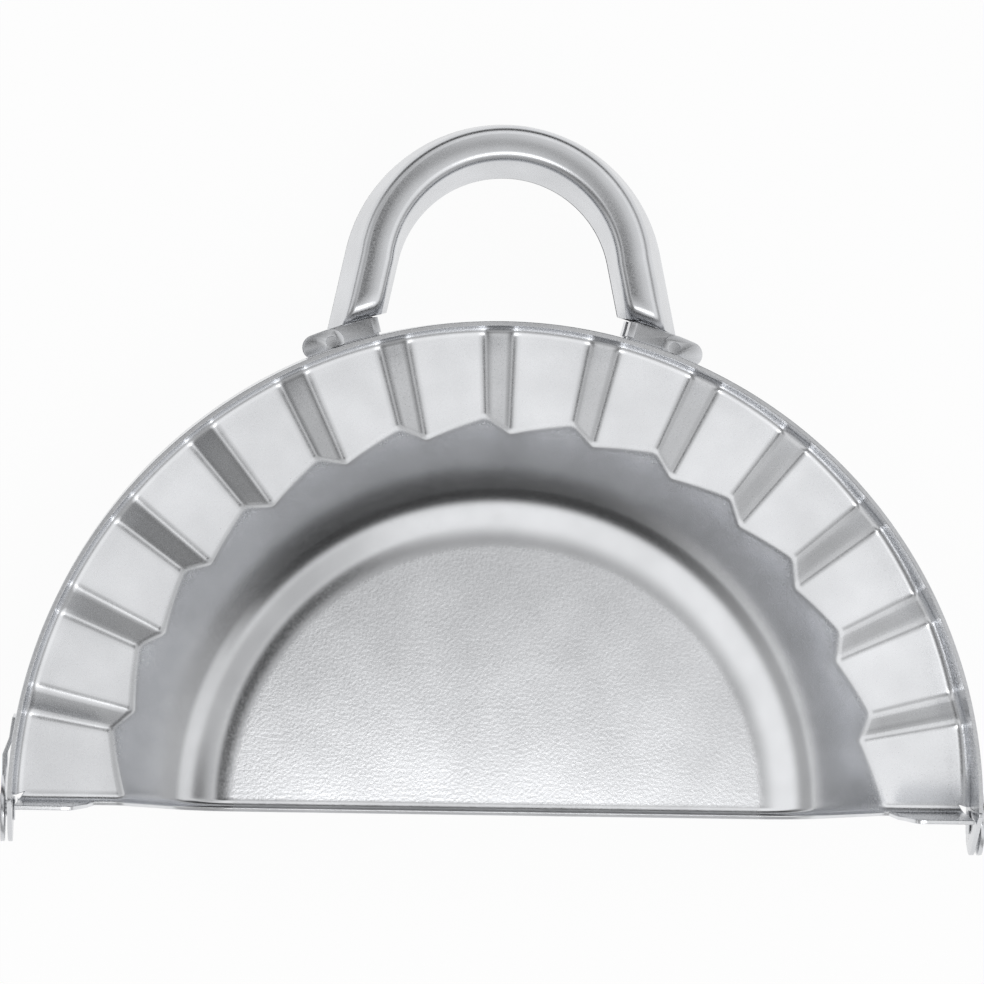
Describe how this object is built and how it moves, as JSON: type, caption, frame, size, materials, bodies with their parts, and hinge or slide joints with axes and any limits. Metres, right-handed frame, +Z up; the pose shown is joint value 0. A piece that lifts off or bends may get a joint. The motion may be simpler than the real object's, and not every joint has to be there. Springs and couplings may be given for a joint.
{
  "type": "empanada press",
  "caption": "Hinged half-moon press in sheet steel with a pleated rim and a loop handle on each half, for folding and crimping filled pastry.",
  "frame": {"origin": "middle of the footprint, on the surface the closed press lies on", "axes": "+X along the hinge, towards the right end; +Y from the hinge towards the handles; +Z up, through the front half"},
  "size_m": [0.1558, 0.1137, 0.025],
  "materials": {
    "plates": "polished",
    "fittings": "satin",
    "rivets": "satin"
  },
  "bodies": {
    "back": {"back_half": "plates", "back_handle": "fittings", "back_foot_left": "fittings", "back_foot_right": "fittings", "back_ear_left": "fittings", "back_ear_right": "fittings", "hinge_rivet_left": "rivets", "hinge_rivet_right": "rivets"},
    "front": {"front_half": "plates", "front_handle": "fittings", "front_foot_left": "fittings", "front_foot_right": "fittings", "front_ear_left": "fittings", "front_ear_right": "fittings"}
  },
  "joints": [
    {"name": "hinge", "type": "hinge", "parent": "back", "child": "front", "pos_m": [0, -0.05165, 0.0125], "axis": [1, 0, 0], "range_deg": [0, 180]}
  ]
}
